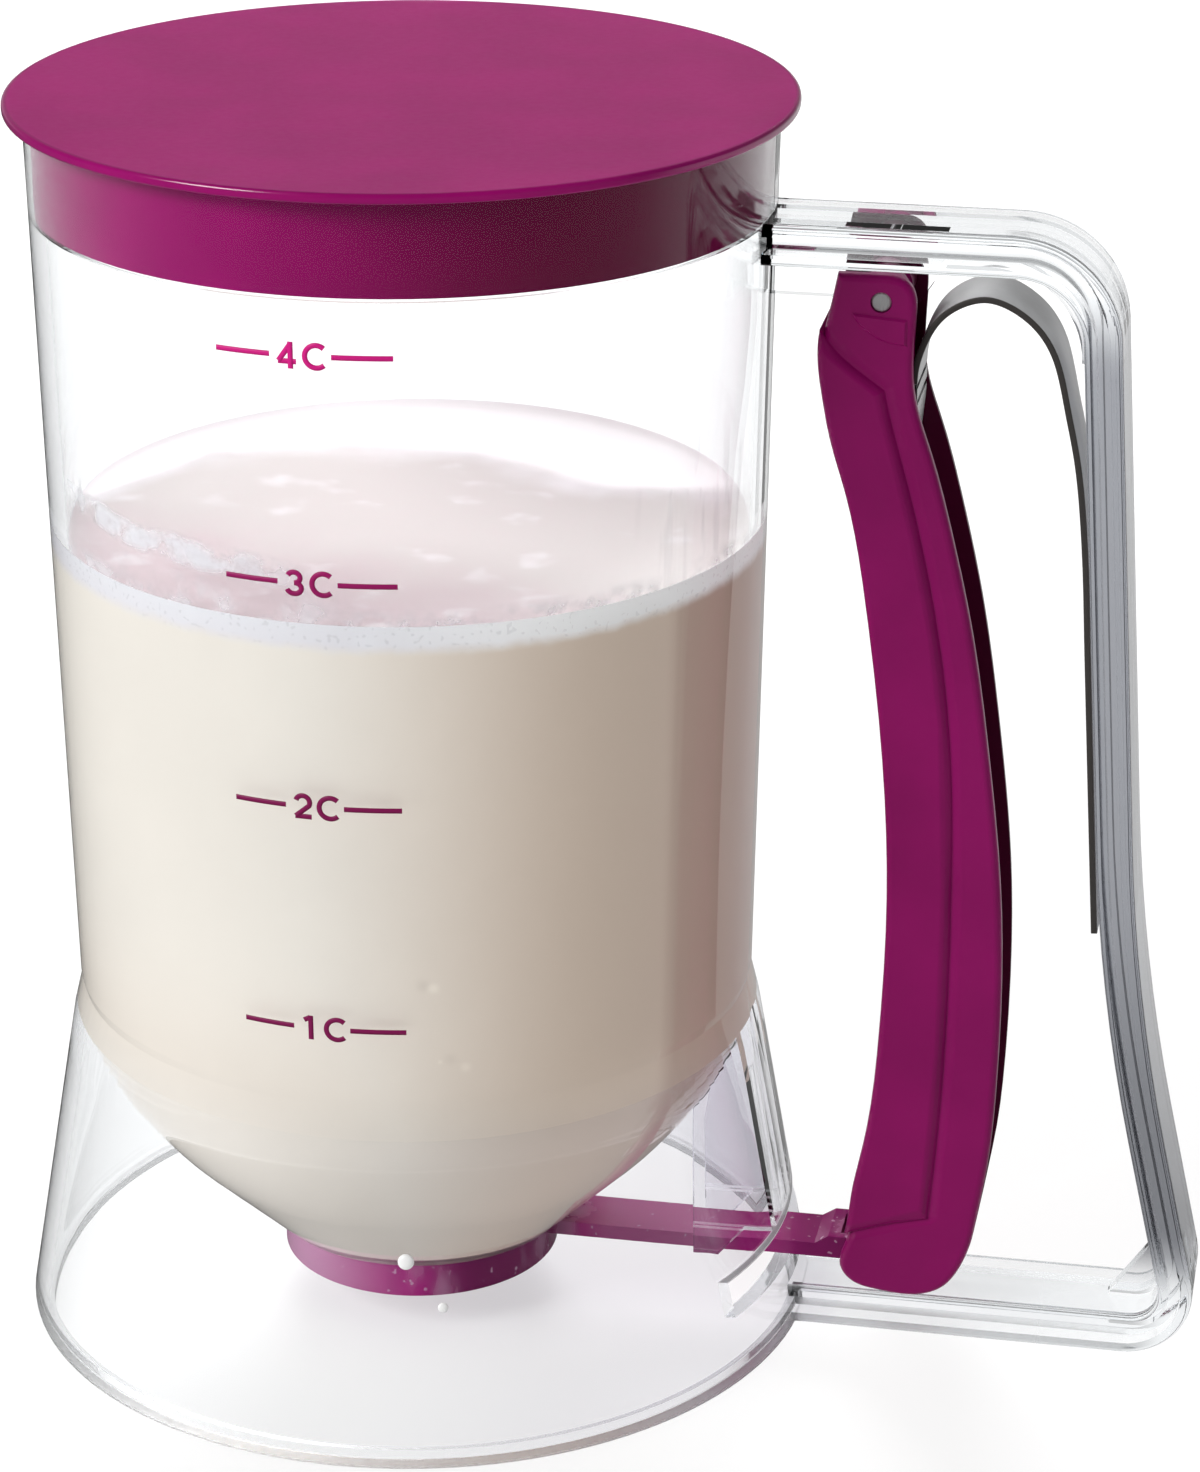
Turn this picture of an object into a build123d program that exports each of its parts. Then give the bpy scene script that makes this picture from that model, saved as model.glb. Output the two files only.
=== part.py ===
"""Hand-held batter dispenser: clear hopper on a flared skirt, loop handle, sprung lever, slide valve.

Frame: millimetres, +Z up. The origin is on the table, on the hopper's axis. +X points to the handle.
"""
from build123d import *
import math
import os

# ---- Hopper: tapered cylinder on a funnel, one clear moulding ----
wall = 2.3                     # wall of hopper and skirt
mouth_diameter = 103.4         # outside, at the rim
waist_diameter = 98.6          # outside, where cylinder, funnel and skirt meet
rim_height = 180.6
waist_height = 53.0
funnel_slope = 45.0            # degrees, lower straight run of the funnel
funnel_run = 18.5              # length of that straight run
lip_diameter = 44.8            # flat underside around the outlet
lip_height = 12.4
outlet_diameter = 18.0
mouth_wall = 0.8               # wall left round the lid's band, above a ledge
ledge_slope = 0.5              # the ledge falls this far inwards
rim_rounding = 0.3

# ---- Base: flared skirt with a foot bead, a window for the valve and two guide ribs ----
foot_diameter = 117.0
foot_bead_height = 1.8
foot_bead_width = 3.4
window_width = 47.0            # across, lets the valve plate in
window_sill = 9.4
window_top = 15.0
guide_thickness = 1.8
guide_gap = 11.0               # clear width between the two ribs
guide_start = 42.5             # inner end of the ribs, from the axis
guide_tab_length = 3.6
guide_tab_height = 10.6        # lower edge of the tab at the inner end
guide_ramp = 3.4

# ---- Lid: flat disc with a band that pushes into the mouth ----
lid_overhang = 2.65            # past the rim, all round
lid_thickness = 1.4
lid_edge_rounding = 0.5
band_depth = 13.2
band_wall = 1.6
band_clearance = 0.12          # radial, all the way down
band_end_gap = 0.3             # from the band to the ledge
lid_seat_gap = 0.0             # the disc rests on the rim

# ---- Handle: flat bar bent into a loop, with side grooves, corner webs and a pivot lug ----
handle_width = 15.0
handle_drop = 13.0             # from the rim down to the top arm
handle_bottom = 0.3
upright_top_x = 98.8           # outer face, run up to the handle's top
bend_x = 105.8                 # outer face where the upright starts to flare
bend_height = 58.0
upright_foot_x = 118.7         # outer face, run down to the handle's bottom
top_depth = 5.8
upright_depth = 5.2
bottom_depth = 6.1
top_corner_radius = 15.0
bend_radius = 300.0
bottom_corner_radius = 10.0
least_corner_radius = 4.0
groove_border = 1.7            # left standing beside each groove
groove_depth = 2.6
bar_rounding = 0.8
root_overrun = 20.0            # how far the arms run inwards before they are trimmed
web_thickness = 2.4
top_web_size = 13.0
bottom_web_width = 8.5
bottom_web_height = 11.0

# ---- Side views of lever and spring: drawn for one handle, then moved with its top arm ----
drawn_handle_top = 167.6
drawn_fixed_below = 20.5       # the toe and the valve's end stay where they are
drawn_moved_above = 135.0      # the head keeps its place under the top arm

# ---- Pivot ----
pivot_x = 67.3
pivot_drop = 9.7               # from the handle's top
pin_diameter = 2.8
pin_recess = 0.3
pin_end_rounding = 0.4
pin_running_clearance = 0.05   # radial, pin in the lever
pin_seat_clearance = 0.01      # radial, pin in the lug
lug_radius = 4.6
lug_lower_edge = 156.3         # this and the next side views as drawn
lug_nose = 4.5                 # from the pivot to the lug's far lower corner
lug_end_rake = 4.2             # how far its far end leans out
lug_side_clearance = 0.25

# ---- Lever: channel section, open to the upright, with a raised grip panel ----
lever_width = 16.4             # over the cheeks
lever_wall = 1.8
lever_edge_rounding = 1.0
lever_top_gap = 0.25           # under the top arm
lever_top_front_x = 61.3
lever_top_back_x = 68.3
lever_front = [(60.3, 156.5), (59.4, 151.8), (59.9, 145.6), (61.3, 138.4), (63.5, 131.0), (66.7, 115.0),
               (69.6, 92.0), (70.8, 70.0), (70.2, 49.0), (68.5, 32.0), (66.5, 20.5)]
lever_toe = [(65.7, 15.0), (64.7, 10.7), (66.4, 8.3), (70.5, 7.1), (75.3, 6.8), (79.6, 8.3), (82.5, 12.3)]
lever_back = [(84.2, 18.0), (85.8, 28.8), (86.6, 40.0), (86.9, 54.0), (86.3, 71.6), (84.0, 92.0),
              (80.8, 112.0), (77.8, 125.0), (74.4, 137.0), (71.9, 146.0), (71.8, 152.3), (72.0, 156.8)]
front_web_top = 154.4          # only the cheeks stand above this
front_web_end = 14.2           # below it the web is notched for the valve arm, all but a tongue
notch_length = 9.0             # from the web back to the closed toe
tongue_width = 5.0             # runs in the valve arm's slot
tongue_end = 10.4
panel_rise = 0.6
panel_edge_rounding = 0.9
panel_ridge = [(56.0, 156.2), (59.0, 153.7), (61.8, 150.5), (65.0, 147.9), (68.1, 145.7)]
panel_crease = [(68.9, 142.2), (70.9, 135.0), (73.6, 124.6), (78.2, 98.0), (79.4, 72.0), (79.2, 47.5),
                (77.5, 20.0)]
panel_foot = [(72.0, 18.6), (62.0, 15.2)]
cheek_pad_rise = 0.35          # low half-moon under the pivot, on both cheeks
cheek_pad_edge = 0.3
cheek_pad_top = [(70.9, 155.7), (63.4, 156.3)]
cheek_pad_curve = [(64.0, 155.2), (65.6, 153.7), (67.3, 152.7), (69.2, 152.2), (70.9, 152.0)]
pivot_boss_diameter = 6.4
beside_steps = 40              # points taken along an edge that another one runs beside

# ---- Return spring: flat strip bent over like a hairpin ----
strip_thickness = 0.9
strip_width = 11.4
strip_gap = 0.15               # between the strip and what it bears on
strip_foot = [(69.4, 119.0), (70.6, 130.0)]
strip_arch = [(71.7, 141.0), (72.1, 149.0), (75.2, 155.5), (80.9, 158.3), (86.6, 156.1), (90.6, 151.0),
              (93.0, 142.0), (94.7, 133.5)]
strip_leg_top = 122.0          # from here down it lies along the upright
strip_leg_bottom = 66.5

# ---- Valve slide: cupped disc under the outlet, flat arm out to the lever ----
disc_diameter = 41.0
disc_top_gap = 0.2             # below the funnel's lip
disc_depth = 5.9
disc_plate = 2.0
disc_wall = 1.6
disc_rib = 1.4
disc_rounding = 0.6
arm_width = 8.8
arm_thickness = 2.2
slot_play = 0.5                # before and beside the lever's tongue
slot_length = 3.6              # lets the tongue tilt
lip_length = 1.7               # each end of the slot
lip_ramp = 2.0                 # from the arm's top up to the front lip
lip_rise = 1.3                 # both stand this far above the arm
lip_rounding = 0.4

seam = 0.15                    # glue line between hopper, skirt and handle
OVERLAP = 1.0                  # cutters and joined pieces run this far past a face

lid_diameter = mouth_diameter + 2 * lid_overhang
handle_top = rim_height - handle_drop
pivot_height = handle_top - pivot_drop
lever_top = handle_top - top_depth - lever_top_gap


def wall_radius(height, inset=0.0):
    """Radius of the tapered cylinder at a height, inset from its outside."""
    share = (height - waist_height) / (rim_height - waist_height)
    return (waist_diameter + (mouth_diameter - waist_diameter) * share) / 2 - inset


def placed(*points):
    """Points of the drawn side views, moved with the handle's top arm."""
    moved = []
    for x, height in points:
        share = (height - drawn_fixed_below) / (drawn_moved_above - drawn_fixed_below)
        moved.append((x, height + (handle_top - drawn_handle_top) * min(max(share, 0), 1)))
    return moved


def placed_height(height):
    """One height of the drawn side views, moved with the handle's top arm."""
    return placed((0, height))[0][1]


def direction(start, end):
    """Unit vector from one point of a side view to another."""
    run = (end[0] - start[0], end[1] - start[1])
    length = math.hypot(*run)
    return (run[0] / length, run[1] / length)


def revolved(*outline):
    """Turn a half outline, given in the XZ plane, about the hopper's axis."""
    return revolve(Plane.XZ * make_face(list(outline)), Axis.Z)


def slab(face, width):
    """Extrude an XZ face to a width, centred on the handle's middle plane."""
    return extrude(Plane.XZ.offset(-width / 2) * face, width)


def hopper_form(inset, top):
    """Everything inside the hopper's outline, inset by a wall, up to a height."""
    slope = math.radians(funnel_slope)
    floor = lip_height + inset
    lip = (lip_diameter / 2 - inset * math.tan(slope / 2), floor)
    cone_top = (lip_diameter / 2 + funnel_run * math.cos(slope) - inset * math.sin(slope),
                lip_height + funnel_run * math.sin(slope) + inset * math.cos(slope))
    waist = (waist_diameter / 2 - inset, waist_height)
    return revolved(Polyline((wall_radius(top, inset), top), (0, top), (0, floor), lip, cone_top),
                    TangentArc(cone_top, waist, tangent=(math.cos(slope), math.sin(slope))),
                    Line(waist, (wall_radius(top, inset), top)))


def skirt_form(inset):
    """Everything inside the flared skirt's outline, inset horizontally."""
    return revolved(Polyline((0, waist_height), (waist_diameter / 2 - inset, waist_height),
                             (foot_diameter / 2 - inset, 0), (0, 0), close=True))


def mouth_form():
    """Room for the lid's band: the rebate inside the hopper's mouth."""
    ledge = rim_height - band_depth - band_end_gap
    top = rim_height + OVERLAP
    return revolved(Polyline((0, top), (wall_radius(top, mouth_wall), top), (wall_radius(ledge, mouth_wall), ledge),
                             (wall_radius(ledge - ledge_slope, wall), ledge - ledge_slope),
                             (0, ledge - ledge_slope), close=True))


def make_hopper():
    body = hopper_form(0, rim_height) - hopper_form(wall, rim_height + OVERLAP) - mouth_form()
    body -= Pos(0, 0, lip_height) * Cylinder(outlet_diameter / 2, 3 * wall)
    rim = body.edges().group_by(Axis.Z)[-1]
    return fillet(rim, rim_rounding)


def guide_rib(side):
    """One upright rib beside the valve arm, from the funnel to the skirt."""
    tab_end = guide_start + guide_tab_length
    outline = Polyline((guide_start, guide_tab_height), (tab_end, guide_tab_height),
                       (tab_end + guide_ramp, window_top), (foot_diameter / 2, window_top),
                       (foot_diameter / 2, waist_height), (guide_start, waist_height), close=True)
    return Pos(0, side * (guide_gap + guide_thickness) / 2, 0) * slab(make_face(outline), guide_thickness)


def make_skirt():
    foot_radius = foot_diameter / 2
    skirt = skirt_form(0) - skirt_form(wall)
    bead = Pos(0, 0, foot_bead_height / 2) * (
        Cylinder(foot_radius, foot_bead_height) - Cylinder(foot_radius - foot_bead_width, foot_bead_height))
    window = Pos(foot_radius, 0, (window_sill + window_top) / 2) * Box(
        foot_radius, window_width, window_top - window_sill)
    skirt = skirt + (bead & skirt_form(0)) - window
    ribs = guide_rib(1) + guide_rib(-1)
    return skirt + (ribs & skirt_form(wall / 2)) - hopper_form(-seam, rim_height)


def make_lid():
    disc_bottom = rim_height + lid_seat_gap
    disc = Pos(0, 0, disc_bottom + lid_thickness / 2) * Cylinder(lid_diameter / 2, lid_thickness)
    disc = fillet(disc.edges().filter_by(GeomType.CIRCLE), lid_edge_rounding)
    inset = mouth_wall + band_clearance
    top = disc_bottom + lid_thickness / 2
    end = disc_bottom - band_depth
    band = revolved(Polyline((wall_radius(top, inset), top), (wall_radius(end, inset), end),
                             (wall_radius(end, inset + band_wall), end),
                             (wall_radius(top, inset + band_wall), top), close=True))
    return disc + band


def upright_x(height):
    """Outer face of the upright at a height, before its corners are rounded."""
    if height >= bend_height:
        share = (height - bend_height) / (handle_top - bend_height)
        return bend_x + (upright_top_x - bend_x) * share
    share = (height - bend_height) / (handle_bottom - bend_height)
    return bend_x + (upright_foot_x - bend_x) * share


def handle_outline(top_inset, upright_inset, bottom_inset):
    """The loop's outline, inset from its outside by the given depths."""
    root = waist_diameter / 2 - root_overrun
    upper = handle_top - top_inset
    lower = handle_bottom + bottom_inset
    top_corner = (upright_x(upper) - upright_inset, upper)
    bend = (bend_x - upright_inset, bend_height)
    bottom_corner = (upright_x(lower) - upright_inset, lower)
    face = Sketch() + make_face(Polyline((root, upper), top_corner, bend, bottom_corner, (root, lower), close=True))
    for corner, radius in ((top_corner, max(top_corner_radius - top_inset, least_corner_radius)),
                           (bend, bend_radius),
                           (bottom_corner, max(bottom_corner_radius - bottom_inset, least_corner_radius))):
        face = fillet(face.vertices().sort_by_distance(corner)[0], radius)
    return face


def pivot_lug():
    """Plate under the top arm that carries the pin."""
    root = waist_diameter / 2 - root_overrun
    under = handle_top - top_depth
    nose = pivot_x + lug_nose
    lower = placed_height(lug_lower_edge)
    plate = make_face(Polyline((root, under + OVERLAP), (nose + lug_end_rake, under + OVERLAP),
                               (nose, lower), (root, lower), close=True))
    eye = Pos(pivot_x, pivot_height) * Circle(lug_radius)
    hole = Pos(pivot_x, pivot_height) * Circle(pin_diameter / 2 + pin_seat_clearance)
    return slab(plate + eye - hole, web_thickness)


def corner_webs():
    """Thin webs in the loop's two inner corners, in its middle plane."""
    under = handle_top - top_depth
    inner_top = upright_x(under) - upright_depth
    over = handle_bottom + bottom_depth
    inner_bottom = upright_x(over) - upright_depth
    upper = [Polyline((inner_top, under - top_web_size), (inner_top + OVERLAP, under - top_web_size),
                      (inner_top + OVERLAP, under + OVERLAP), (inner_top - top_web_size, under + OVERLAP),
                      (inner_top - top_web_size, under)),
             RadiusArc((inner_top - top_web_size, under), (inner_top, under - top_web_size), top_web_size)]
    lower = Polyline((inner_bottom - bottom_web_width, over - OVERLAP), (inner_bottom + OVERLAP, over - OVERLAP),
                     (inner_bottom + OVERLAP, over + bottom_web_height),
                     (inner_bottom - OVERLAP, over + bottom_web_height),
                     (inner_bottom - bottom_web_width, over), close=True)
    return slab(make_face(upper), web_thickness) + slab(make_face(lower), web_thickness)


def make_handle():
    section = handle_outline(0, 0, 0) - handle_outline(top_depth, upright_depth, bottom_depth)
    bar = slab(section, handle_width)
    sides = bar.faces().filter_by(Axis.Y)
    bar = fillet(sides.edges(), bar_rounding)
    floor = handle_outline(groove_border, groove_border, groove_border) - handle_outline(
        top_depth - groove_border, upright_depth - groove_border, bottom_depth - groove_border)
    web = handle_width - 2 * groove_depth
    bar -= slab(floor, handle_width) - slab(floor, web)
    frame = bar + pivot_lug() + corner_webs()
    return frame - hopper_form(-seam, rim_height) - skirt_form(-seam)


def lever_curves():
    """Side view of the lever: front with the toe, back, rounded top corner and top."""
    front_top = (lever_top_front_x, lever_top)
    back_top = (lever_top_back_x, lever_top)
    front = placed(*lever_front)
    toe = placed(*lever_toe)
    back = placed(*lever_back)
    up = direction(*back[:2])
    top_run = direction(*back[-2:])
    return [
        Spline(front_top, *front, *toe, back[0], tangents=(direction(front_top, front[0]), up)),
        Spline(*back, tangents=(up, top_run)),
        Spline(back[-1], back_top, tangents=(top_run, (-1, 0))),
        Line(back_top, front_top),
    ]


def beside(curve, distance):
    """Curve that runs beside another one, inside the lever where the distance is positive."""
    points = []
    for step in range(beside_steps + 1):
        at = curve.position_at(step / beside_steps)
        along = curve.tangent_at(step / beside_steps)
        points.append((at.X - along.Y * distance, at.Y + along.X * distance))
    return Spline(*points)


def behind_front(distance):
    """Everything behind the lever's front and toe, moved inwards by a distance, up past its top."""
    front = beside(lever_curves()[0], distance)
    start = front.position_at(0)
    end = front.position_at(1)
    far = handle_top
    closing = Polyline((end.X, end.Y), (far, end.Y), (far, far), (start.X, far), (start.X, start.Y))
    return make_face([front, closing])


def channel():
    """What is hollow between the cheeks: open at the back, closed round the toe."""
    notch = Pos(lever_toe[0][0] + notch_length / 2 - OVERLAP, front_web_end / 2) * Rectangle(
        notch_length + 2 * OVERLAP, front_web_end)
    web_top = placed_height(front_web_top)
    over_web = Pos(pivot_x, web_top + lever_width / 2) * Rectangle(2 * lever_width, lever_width)
    return slab(behind_front(lever_wall) + notch + over_web, lever_width - 2 * lever_wall)


def tongue():
    """Middle of the front web, left standing in the notch, that moves the valve."""
    web = make_face(lever_curves()) - behind_front(lever_wall)
    reach = Pos(lever_toe[0][0], (tongue_end + front_web_end + OVERLAP) / 2) * Rectangle(
        notch_length, front_web_end + OVERLAP - tongue_end)
    return slab(web & reach, tongue_width)


def grip_panel():
    """Raised pad that wraps the lever's front between the two creases."""
    ridge = placed(*panel_ridge)
    crease = placed(*panel_crease)
    foot = placed(*panel_foot)
    outline = [Spline(*ridge), Spline(ridge[-1], *crease),
               Polyline(crease[-1], *foot, (ridge[0][0], foot[-1][1]), ridge[0])]
    pad = slab(make_face(outline) & behind_front(-panel_rise), lever_width + 2 * panel_rise)
    return fillet(pad.faces().filter_by(Axis.Y).edges(), panel_edge_rounding)


def cheek_pad():
    """Low half-moon that stands out of both cheeks under the pivot."""
    top = placed(*cheek_pad_top)
    curve = placed(*cheek_pad_curve)
    outline = [Spline(top[-1], *curve), Polyline(curve[-1], *top)]
    pad = slab(make_face(outline), lever_width + 2 * cheek_pad_rise)
    return chamfer(pad.faces().filter_by(Axis.Y).edges(), cheek_pad_edge)


def make_lever():
    body = slab(make_face(lever_curves()), lever_width)
    body = fillet(body.faces().filter_by(Axis.Y).edges(), lever_edge_rounding)
    body = body + grip_panel() + cheek_pad() - channel() + tongue()
    lug_side = web_thickness / 2 + lug_side_clearance
    boss = Circle(pivot_boss_diameter / 2)
    length = lever_width / 2 - lug_side - OVERLAP
    for side in (1, -1):
        plane = Plane(origin=(pivot_x, side * (lug_side + length), pivot_height), z_dir=(0, -side, 0))
        body += extrude(plane * boss, length)
    bore = pin_diameter / 2 + pin_running_clearance
    return body - Pos(pivot_x, 0, pivot_height) * Rot(90, 0, 0) * Cylinder(bore, 2 * lever_width)


def make_pin():
    length = lever_width - 2 * pin_recess
    pin = Pos(pivot_x, 0, pivot_height) * Rot(90, 0, 0) * Cylinder(pin_diameter / 2, length)
    return fillet(pin.edges().filter_by(GeomType.CIRCLE), pin_end_rounding)


def make_spring():
    """Strip with one leg in the lever's channel and the other along the upright."""
    inner_offset = upright_depth + strip_gap + strip_thickness / 2
    high, low = placed_height(strip_leg_top), placed_height(strip_leg_bottom)
    leg_top = (upright_x(high) - inner_offset, high)
    leg_bottom = (upright_x(low) - inner_offset, low)
    foot = placed(*strip_foot)
    bend = Spline(*foot, *placed(*strip_arch), leg_top,
                  tangents=(direction(*foot), direction(leg_top, leg_bottom)))
    leg = Line(leg_top, leg_bottom)
    strip = trace(bend, line_width=strip_thickness) + trace(leg, line_width=strip_thickness)
    return slab(strip, strip_width)


def valve_disc():
    """Inverted cup that closes the outlet from below, with ribs inside."""
    top = lip_height - disc_top_gap
    radius = disc_diameter / 2
    cup = Pos(0, 0, top - disc_depth / 2) * Cylinder(radius, disc_depth)
    cup = fillet(cup.edges().group_by(Axis.Z)[-1], disc_rounding)
    hollow = Pos(0, 0, top - disc_plate - disc_depth / 2) * Cylinder(radius - disc_wall, disc_depth)
    skirt = disc_depth - disc_plate
    cross = Box(disc_diameter - disc_wall, disc_rib, skirt) + Box(disc_rib, disc_diameter - disc_wall, skirt)
    return cup - hollow + Pos(0, 0, top - disc_plate - skirt / 2) * cross


def make_valve():
    top = lip_height - disc_top_gap
    slot_front = lever_toe[1][0] - slot_play
    slot_rear = slot_front + slot_length
    start = disc_diameter / 2 - disc_wall
    end = slot_rear + lip_length
    arm = Pos((start + end) / 2, 0, top - arm_thickness / 2) * Box(end - start, arm_width, arm_thickness)
    crown = slot_front - lip_length
    lips = make_face(Polyline((crown - lip_ramp, top - lip_rise), (crown - lip_ramp, top), (crown, top + lip_rise),
                              (end, top + lip_rise), (end, top - lip_rise), close=True))
    lips = fillet(lips.vertices().group_by(Axis.Y)[-1], lip_rounding)
    slot = Pos((slot_front + slot_rear) / 2, 0, top) * Box(
        slot_length, tongue_width + 2 * slot_play, 3 * arm_thickness)
    return valve_disc() + arm + slab(lips, arm_width) - slot


def write(parts):
    os.makedirs("parts", exist_ok=True)
    for name, part in parts.items():
        part.label = name
        export_step(part, f"parts/{name}.step")


if __name__ == "__main__":
    write({
        "hopper": make_hopper(),
        "base_skirt": make_skirt(),
        "handle_frame": make_handle(),
        "lid": make_lid(),
        "trigger_lever": make_lever(),
        "pivot_pin": make_pin(),
        "return_spring": make_spring(),
        "valve_slide": make_valve(),
    })
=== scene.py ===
"""Batter dispenser: clear hopper on a flared skirt, plum lid and lever, steel spring, tinted valve, batter.

Laid out as a Blender add-on and run as a script. Lengths are in metres unless a comment says otherwise, in
the row frame: +Z up, +X to the handle.
"""
import bpy
import bmesh
import math
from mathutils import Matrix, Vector
from mathutils.bvhtree import BVHTree
from mathutils.interpolate import poly_3d_calc


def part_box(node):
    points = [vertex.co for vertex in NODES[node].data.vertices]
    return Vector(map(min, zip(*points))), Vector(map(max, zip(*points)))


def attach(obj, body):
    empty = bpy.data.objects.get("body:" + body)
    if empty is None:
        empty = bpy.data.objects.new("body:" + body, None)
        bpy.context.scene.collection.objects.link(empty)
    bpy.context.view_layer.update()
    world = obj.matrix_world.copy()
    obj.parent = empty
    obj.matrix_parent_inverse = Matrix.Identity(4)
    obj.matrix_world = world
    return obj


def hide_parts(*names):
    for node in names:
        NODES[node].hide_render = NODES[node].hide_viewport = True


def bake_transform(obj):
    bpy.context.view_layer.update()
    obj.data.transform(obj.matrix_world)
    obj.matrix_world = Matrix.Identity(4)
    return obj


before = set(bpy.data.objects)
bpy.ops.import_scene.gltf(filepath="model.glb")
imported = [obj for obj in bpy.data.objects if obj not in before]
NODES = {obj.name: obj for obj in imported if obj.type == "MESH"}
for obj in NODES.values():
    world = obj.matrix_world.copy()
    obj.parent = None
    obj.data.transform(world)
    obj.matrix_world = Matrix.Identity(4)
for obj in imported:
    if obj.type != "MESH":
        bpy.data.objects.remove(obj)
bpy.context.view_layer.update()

bl_info = {
    "name": "Batter Dispenser",
    "version": (1, 0, 0),
    "blender": (4, 5, 0),
    "location": "View3D > Sidebar > Dispenser",
    "description": "Finishes the batter dispenser's parts and adds its spring, marks and batter",
    "category": "Object",
}

MM = 0.001
FULL_TURN = 2 * math.pi
BLACK, WHITE = (0.0, 0.0, 0.0), (1.0, 1.0, 1.0)

HOPPER_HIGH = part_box("hopper")[1]
DISC_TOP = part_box("valve_slide")[1].z - 1.3 * MM  # the arm's two lips stand this far above the disc
RIM_Z = HOPPER_HIGH.z
RIM_RADIUS = HOPPER_HIGH.x
WAIST_Z = 53.0 * MM
WAIST_RADIUS = 49.3 * MM
WALL = 2.3 * MM


# ---- user settings

def colour_property(name, description, default):
    return bpy.props.FloatVectorProperty(
        name=name, description=description, subtype="COLOR", size=3, min=0, max=1, default=default)


class DispenserColours(bpy.types.PropertyGroup):
    """Colours of the moulded and metal parts."""
    clear_tint: colour_property("Clear tint", "Tint of the clear plastic's surface", (0.985, 0.99, 0.995))
    # Painted shade: a greyer tint in the skirt on the handle's side stands in for the shade that falls there.
    skirt_shade: colour_property("Skirt tint", "Tint of the skirt on the handle's side", (0.905, 0.90, 0.925))
    # Painted shade: a dark tint in the handle's thick upright stands in for the dark seen through the bar.
    upright: colour_property("Upright", "Tint of the handle's thick upright", (0.33, 0.335, 0.36))
    lid: colour_property("Lid", "Plum of the lid", (0.305, 0.0012, 0.130))
    lever: colour_property("Lever", "Plum of the lever", (0.238, 0.0022, 0.102))
    valve: colour_property("Valve", "Tinted plastic of the valve", (0.42, 0.014, 0.215))
    # Also used for a painted wet sheen on the valve disc's left.
    residue_and_sheen: colour_property("Residue", "Dried batter on the valve", (0.68, 0.44, 0.60))
    ink: colour_property("Ink", "Cup marks in front of the batter", (0.21, 0.004, 0.075))
    ink_lit: colour_property("Lit ink", "Cup marks with light behind them", (0.62, 0.008, 0.21))
    steel: colour_property("Steel", "Spring strip and pin", (0.66, 0.66, 0.665))
    # Painted shade on the spring strip's side edges, which show as a dark line.
    edge_shade: colour_property("Cut edge", "Dull edges of the spring strip", (0.09, 0.082, 0.078))


class BatterSettings(bpy.types.PropertyGroup):
    """How full the hopper is and what the batter looks like."""
    level: bpy.props.FloatProperty(
        name="Level", description="Height of the batter's surface above the table", unit="LENGTH",
        default=0.1223, min=0.06, max=0.165)
    foam_depth: bpy.props.FloatProperty(
        name="Foam depth", description="Height of the pale band under the surface", unit="LENGTH",
        default=0.0034, min=0, max=0.02)
    colour: colour_property("Batter", "Colour of the batter at the wall", (0.85, 0.80, 0.725))
    shade: colour_property("Shade", "Colour of the batter away from the light", (0.80, 0.655, 0.535))
    # Painted reflection: the plum lever's dark, warm reflection in the wall, painted into the batter.
    lever_reflection: colour_property("Dusk", "Colour of the batter beside the handle", (0.52, 0.36, 0.29))
    foam: colour_property("Foam", "Colour of the foam at the wall", (0.79, 0.79, 0.825))
    skin: colour_property("Skin", "Nearest part of the batter's surface", (0.72, 0.615, 0.625))
    middle: colour_property("Middle", "Middle part of the batter's surface", (0.77, 0.745, 0.71))
    froth: colour_property("Froth", "Far part of the batter's surface", (0.985, 0.985, 0.98))


class MarkSettings(bpy.types.PropertyGroup):
    """Cup marks printed on the hopper."""
    cap_height: bpy.props.FloatProperty(
        name="Cap height", description="Height of the figures", unit="LENGTH",
        default=0.0036, min=0.001, max=0.01)
    stroke: bpy.props.FloatProperty(
        name="Stroke", description="Width of the strokes", unit="LENGTH",
        default=0.00072, min=0.0002, max=0.002)
    proud: bpy.props.FloatProperty(
        name="Ink thickness", description="How far the ink stands off the wall", unit="LENGTH",
        default=0.00006, min=0.00001, max=0.0005)
    side: bpy.props.FloatProperty(
        name="Side", description="Where the marks' middle lies, turned from the handle", subtype="ANGLE",
        default=math.radians(-91.5))


class SpringSettings(bpy.types.PropertyGroup):
    """Flat strip between lever and handle."""
    thickness: bpy.props.FloatProperty(
        name="Thickness", description="Thickness of the strip", unit="LENGTH",
        default=0.0009, min=0.0002, max=0.002)
    width: bpy.props.FloatProperty(
        name="Width", description="Width of the strip", unit="LENGTH",
        default=0.0114, min=0.004, max=0.0125)


class StageSettings(bpy.types.PropertyGroup):
    """Floor, light and camera."""
    distance: bpy.props.FloatProperty(
        name="Distance", description="Camera from the hopper's axis, level", unit="LENGTH", default=0.5844)
    height: bpy.props.FloatProperty(
        name="Height", description="Camera above the table", unit="LENGTH", default=0.3267)
    turn: bpy.props.FloatProperty(
        name="Turn", description="Camera round the axis, from the front", subtype="ANGLE",
        default=math.radians(13.47))
    lens: bpy.props.FloatProperty(name="Lens", description="Focal length in millimetres", default=106.8)


# ---- node expressions

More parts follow.
